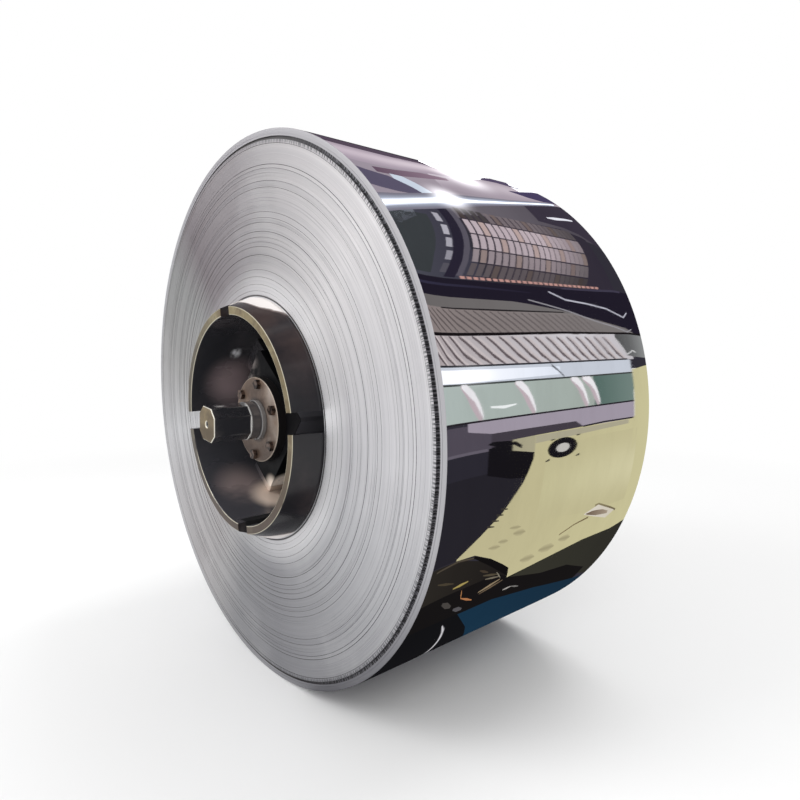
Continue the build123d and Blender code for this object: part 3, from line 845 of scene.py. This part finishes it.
def lowerCards(c):
    card = c.card
    # pale yellow green sheet
    sheet = [(52, -18, -18.3), (96, -14.9, -18.4), (143, -11.4, -20.4), (184, -6.9, -22.8),
             (205, -3.1, -24.2), (208, 1, -24.4), (217, 1, -27.1), (337, 1.1, -25.7), (442, 1.1, -24.5),
             (538, 1.1, -24.3), (543, 11, -24.3), (700, 12, -23.4)]
    card((196, 188, 146), sheet, 12, to=(208, 202, 156))
    card((176, 170, 140), [(150, 0.9, -0.9), (208, 1, -1.9)], 12)
    card((204, 198, 154), [(240, -2, -15), (400, -1, -17), (560, -1, -17)], 13, to=(216, 210, 168),
         edge=(200, 193, 150))
    card((178, 172, 146), [(209, 0.9, -0.4), (330, 0.9, -0.2), (520, 1, 0.2)], 14)
    card((40, 36, 42), [(352, 1.3, 1), (430, 1.5, 1.2), (538, 1.4, 1.1)], 15)
    disc = [(math.cos(math.pi * k / 12), math.sin(math.pi * k / 12)) for k in range(12, -1, -1)]
    for tone, wide, tall, layer in (((26, 24, 28), 45, 1.8, 14), ((200, 198, 190), 20.25, 0.8, 15)):
        card(tone, [(289 + wide * u, -2.05 + tall * h, -2.05 - tall * h) for u, h in disc], layer, step=12)
    for d, a in ((240, -3.9), (252, -0.3), (330, -0.2), (332, -4)):
        card((64, 60, 54), [(d, a, a - 0.2), (d + 12, a + 0.3, a - 0.1)], 15, step=12)
    card((150, 140, 106), [(440, -15.9, -16.8), (452, -15.8, -17.2), (503, -17.6, -19),
         (532, -18.8, -19.2)], 14, to=(110, 98, 74))
    card((228, 221, 206), [(408, -17.4, -17.6), (452, -16.2, -19), (501, -18, -20.4), (526, -18.9, -19.1)],
         15, to=(214, 206, 186))
    card((112, 94, 78), [(414, -17.5, -17.7), (436, -17.3, -18.3), (456, -17.5, -18.8), (476, -17.8, -19),
         (500, -18.6, -19.3)], 16, to=(168, 152, 132))
    card((112, 94, 66), [(339, -20.4, -20.7), (381, -19.1, -19.4), (428, -18.4, -18.8)], 14)
    # soft smudges
    smudges = ((150, -17.2, 26, 0.5), (186, -16.4, 34, 0.7), (172, -15, 30, 0.4), (128, -17.9, 30, 0.5),
               (236, -23.6, 44, 0.9), (286, -22.7, 50, 1), (344, -21.8, 40, 0.8))
    blotShape = ((0, 0.3), (0.3, 0.9), (0.7, 1), (1, 0.2))
    for d, a, wide, tall in smudges:
        blot = [(d + wide * u, a - 0.4 * u + tall * h, a - 0.4 * u - tall * h) for u, h in blotShape]
        card((168, 160, 124), blot, 14, edge=(190, 182, 142), step=8)
    for k in range(4):
        left, up = 110 + 9 * k, 0.9 * k
        card((60, 56, 50), [(left, up - 13.2, up - 13.6), (left + 18, up - 13.6, up - 13.8)], 14)
    # dark and blue below
    card((56, 55, 46), [(205, -24, -32), (337, -25.4, -33), (442, -24.2, -34), (700, -23, -46)], 7,
         to=(46, 45, 40))
    card((52, 48, 42), [(-150, -18.6, -30), (60, -18.4, -29), (140, -20.8, -30), (226, -25.6, -31)], 8,
         to=(30, 27, 26))
    card((88, 80, 66), [(4, -19, -19.4), (60, -18.2, -18.8), (112, -19, -19.3)], 10, edge=(54, 48, 42))
    card((20, 18, 18), [(96, -18.5, -19), (149, -20.7, -22.2), (226, -25.4, -27.3), (240, -26.6, -27.2)],
         11)
    card((24, 22, 22), [(-150, -27, -36), (60, -25.6, -36), (180, -25, -36), (230, -27.4, -36),
         (340, -30.4, -37), (439, -31.6, -39), (542, -36.2, -41.6)], 9)
    card((25, 52, 72), [(116, -33, -62), (210, -32.8, -62), (354, -35.6, -62), (605, -42.4, -62),
         (700, -46, -62)], 10, to=(24, 42, 58))
    card((20, 20, 22), [(-150, -33.4, -64), (118, -32.8, -64), (190, -41, -64), (258, -51, -64)], 11)
    card((214, 212, 214), [(94, -34.8, -35.4), (110, -36.6, -38.6), (125, -40.2, -42.6), (140, -45, -48),
         (152, -49.4, -53), (164, -55, -59)], 13, step=6, edge=(60, 60, 64))
    scraps = (
        ((68, -24.5), (102, -24), (168, 150, 88), 0.35),
        ((94, -25.8), (102, -28), (186, 132, 84), 0.3),
        ((102, -28), (139, -29.9), (176, 120, 78), 0.3),
        ((147, -28.3), (197, -26.8), (150, 132, 104), 0.35),
        ((152, -28.9), (208, -27.4), (112, 96, 76), 0.3),
        ((139, -24), (183, -25.1), (84, 76, 60), 0.3),
        ((150, -25.2), (190, -25.9), (120, 112, 96), 0.25),
        ((176, -24.4), (196, -26.4), (132, 126, 110), 0.2),
        ((228, -30.9), (252, -30.8), (172, 168, 160), 0.3),
        ((252, -30.8), (282, -32), (120, 118, 114), 0.25),
        ((56, -27.6), (84, -29.4), (74, 70, 66), 0.8),
        ((96, -30.6), (122, -31.6), (88, 86, 88), 0.7),
        ((20, -22), (64, -23.2), (74, 66, 52), 0.3),
        ((124, -22.4), (150, -23.6), (70, 60, 48), 0.3))
    for (d0, a0), (d1, a1), tone, half in scraps:
        spots = ((d0, a0, half * 0.4), ((d0 + d1) / 2, (a0 + a1) / 2, half), (d1, a1, half * 0.4))
        card(tone, [(d, a + h, a - h) for d, a, h in spots], 14, step=8)
    card((46, 44, 52), [(-150, 0, -3.9), (98, 0, -3.9)], 8)
    card((40, 38, 44), [(-150, -3.9, -18.6), (60, -3.9, -18.2), (120, -3.9, -14), (205, -3.9, -5)], 6)
    card((24, 22, 26), [(92, 1.1, -4.2), (150, 0.9, -5.6), (206, -1.9, -6.2)], 10)


hall = {
    "across": 3.45,
    "top": 3.6,
    "blur": 0.025,  # soft edge of a band
    "pillar": 0.14,
    # each stretch of the hall: from, to, bands up its walls and across its roof, its pillars, their colour
    # a band is where it ends, its screen colour and, where it isn't 1, its strength
    "stretches": (
        (-0.9, 5.3,
         ((0.4, (128, 128, 126)), (0.85, (176, 174, 171)), (0.98, (104, 104, 108)), (1.3, (168, 176, 172)),
          (1.42, (232, 234, 236)), (1.95, (160, 151, 149)), (2.05, (58, 54, 60)), (2.55, (128, 120, 118)),
          (3.05, (66, 61, 70)), (3.6, (96, 90, 98))),
         ((-2.5, (80, 74, 83)), (-2.2, (236, 238, 242)), (-1.1, (104, 96, 106)), (-0.9, (60, 56, 66)),
          (-0.2, (142, 134, 142)), (0.15, (240, 242, 246)), (1, (142, 134, 142)), (1.2, (60, 56, 66)),
          (2.2, (104, 96, 106)), (2.5, (236, 238, 242)), (3.45, (80, 74, 83))),
         (-0.3, 0.9, 2.1, 3.3, 4.5), (70, 66, 74)),
        (-6.5, -0.9,
         ((0.35, (206, 206, 207)), (0.8, (226, 227, 229)), (0.9, (112, 112, 116)), (1.45, (232, 233, 235)),
          (1.55, (140, 140, 144)), (2.1, (222, 223, 226), 1.1), (2.22, (92, 90, 96)), (2.9, (214, 213, 217)),
          (3.02, (116, 114, 120)), (3.6, (198, 197, 202))),
         ((-2.4, (206, 205, 210)), (-2.25, (112, 110, 116)), (-1, (220, 220, 224)), (-0.85, (104, 102, 108)),
          (0.4, (240, 241, 244), 1.2), (0.55, (112, 110, 116)), (1.8, (220, 220, 224)),
          (1.95, (104, 102, 108)), (3.45, (206, 205, 210))),
         (-0.97, -2.3, -3.6, -4.9), (122, 120, 126))),
}


def bandStops(bands, start):
    stops = []
    for end, colour, *strength in bands:
        light = strength[0] if strength else 1
        stops += [(start + hall["blur"], colour, light), (end - hall["blur"], colour, light)]
        start = end
    return stops


def hallCards(c):
    # walls and roof that the polish shows from the sides
    across, top = hall["across"], hall["top"]
    for near, far, wall, roof, pillars, pillarTone in hall["stretches"]:
        for side in (-across, across):
            stops = bandStops(wall, 0)
            for (low, *first), (high, *last) in zip(stops, stops[1:]):
                c.sheet(first, last, [(side, near, low), (side, far, low), (side, far, high),
                                      (side, near, high)])
            for y in pillars:
                inner, end, tone = side * 0.99, y + hall["pillar"], (pillarTone, 1)
                c.sheet(tone, tone, [(inner, y, 0), (inner, end, 0), (inner, end, top), (inner, y, top)])
        stops = bandStops(roof, -across)
        for (left, *first), (right, *last) in zip(stops, stops[1:]):
            c.sheet(first, last, [(left, near, top), (left, far, top), (right, far, top),
                                  (right, near, top)])


def studioCards():
    c = Cards()
    hallCards(c)
    c.card((52, 50, 58), [(-200, 74, -72), (800, 74, -72)], 0)  # dark surround
    upperCards(c)
    middleCards(c)
    lowerCards(c)
    c.finish("studioCards")
    flares = Cards()
    flares.glow(177, 46.6, 74, 5.2, 18, 3.2)
    flares.glow(300, 58, 110, 8, 18.5, 2.2)
    flares.glow(60, 11.6, 90, 2.6, 18, 0.7)
    flares.finish("studioFlares", clear=True)
    print("studio cards set")


floor = {
    "radius": 9,
    "segments": 96,
    "plainFrom": 1.9,
    "plainTo": 3.4,
    "colour": (236, 236, 236),
}


def makeFloor():
    mesh = bmesh.new()
    bmesh.ops.create_circle(mesh, cap_ends=True, cap_tris=True, segments=floor["segments"],
                            radius=floor["radius"])
    f = Finish("paleFloor")
    away = f.length(f.place())
    matt = f.node("ShaderNodeBsdfDiffuse", {}, {"Color": fromScreen(floor["colour"])})
    white = f.node("ShaderNodeEmission", {}, {"Color": (1, 1, 1, 1), "Strength": 1})
    fading = f.ease(away, floor["plainFrom"], floor["plainTo"])
    both = f.node("ShaderNodeMixShader", {}, {0: fading, 1: matt, 2: white})
    made = fromMesh("floor", mesh, [f.show(both)])


light = {
    "worldStrength": 0.75,
    # place, aimed at, size, watts
    "lamps": (((-1.6, -3.4, 3.2), (0, -0.1, 0.5), 2.6, 95),
              ((2.8, -2.6, 3), (0.2, 0, 0.5), 2, 45),
              ((0.5, 2.2, 4.8), (0, 0.2, 0.5), 2.4, 80)),
}


def makeLight():
    for number, (place, aim, size, watts) in enumerate(light["lamps"], 1):
        data = bpy.data.lights.new("softbox%d" % number, "AREA")
        data.size, data.energy = size, watts
        aimed(data.name, data, place, Vector(aim) - Vector(place))
    world = bpy.data.worlds.new("studioWorld")
    bpy.context.scene.world = world
    f = Finish("studioWorld", world)
    path = f.node("ShaderNodeLightPath", out="Is Camera Ray")
    mirrored = f.node("ShaderNodeLightPath", out="Is Glossy Ray")
    through = f.node("ShaderNodeLightPath", out="Is Transmission Ray")
    seen = f.maths("MINIMUM", path + mirrored + through, 1)
    strength = light["worldStrength"] + seen * (1 - light["worldStrength"])
    glow = f.node("ShaderNodeBackground", {}, {"Color": (1, 1, 1, 1), "Strength": strength})
    f.show(glow, "World")
    bpy.context.scene.view_settings.view_transform = "Standard"
    print("studio lit")


makeEye()
stripCoil()
dressMandrel()
studioCards()
makeFloor()
makeLight()
